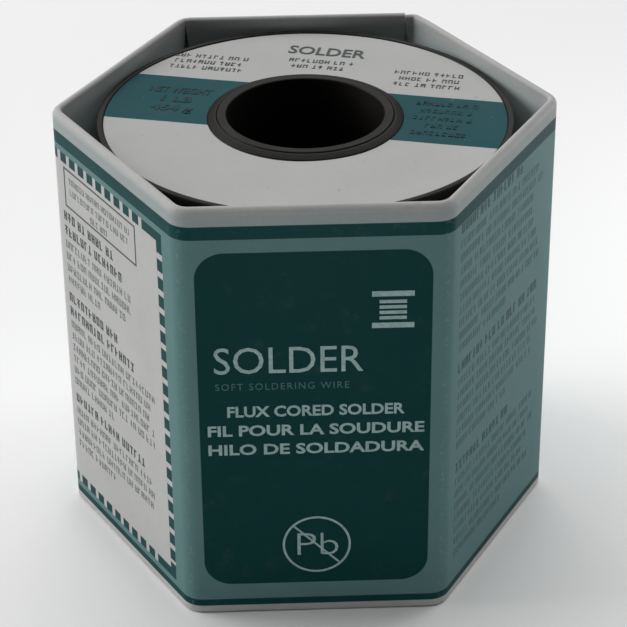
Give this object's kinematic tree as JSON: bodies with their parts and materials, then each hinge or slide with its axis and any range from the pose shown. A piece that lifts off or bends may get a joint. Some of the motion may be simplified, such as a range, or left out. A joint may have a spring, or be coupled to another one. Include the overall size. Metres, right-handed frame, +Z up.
{
  "type": "solder wire spool",
  "caption": "Moulded spool wound with solder wire, standing in an open hexagonal printed board sleeve that it lifts out of.",
  "frame": {"origin": "middle of the footprint, on the surface that the sleeve and the spool stand on", "axes": "+Z up along the spool's bore; one flat side of the sleeve faces -Y; two of its corners lie on X"},
  "size_m": [0.0702, 0.0618, 0.0647],
  "materials": {
    "printed_board": "coated, semi-gloss",
    "board_hem": "coated, semi-gloss",
    "plain_board": "uncoated",
    "label_paper": "satin",
    "black_plastic": "moulded, satin",
    "solder_wire": "drawn, satin"
  },
  "bodies": {
    "sleeve": {"sleeve_wall": "printed_board", "glue_lap": "plain_board", "top_flap_1": "board_hem", "top_flap_2": "board_hem", "top_flap_3": "board_hem", "top_flap_4": "board_hem", "top_flap_5": "board_hem", "top_flap_6": "board_hem", "bottom_flap_1": "board_hem", "bottom_flap_2": "board_hem", "bottom_flap_3": "board_hem", "bottom_flap_4": "board_hem", "bottom_flap_5": "board_hem", "bottom_flap_6": "board_hem"},
    "wire_end": {"wire_end": "solder_wire"},
    "spool": {"core_barrel": "black_plastic", "upper_flange": "black_plastic", "lower_flange": "black_plastic", "wire_winding": "solder_wire", "top_label": "label_paper", "bottom_label": "label_paper"}
  },
  "joints": [
    {"name": "spool_lift", "type": "slide", "parent": "sleeve", "child": "wire_end", "axis": [0, 0, 1], "range_m": [0, 0.066]},
    {"name": "spool_spin", "type": "hinge", "parent": "wire_end", "child": "spool", "pos_m": [0, 0, 0.0316], "axis": [0, 0, 1], "continuous": true}
  ]
}
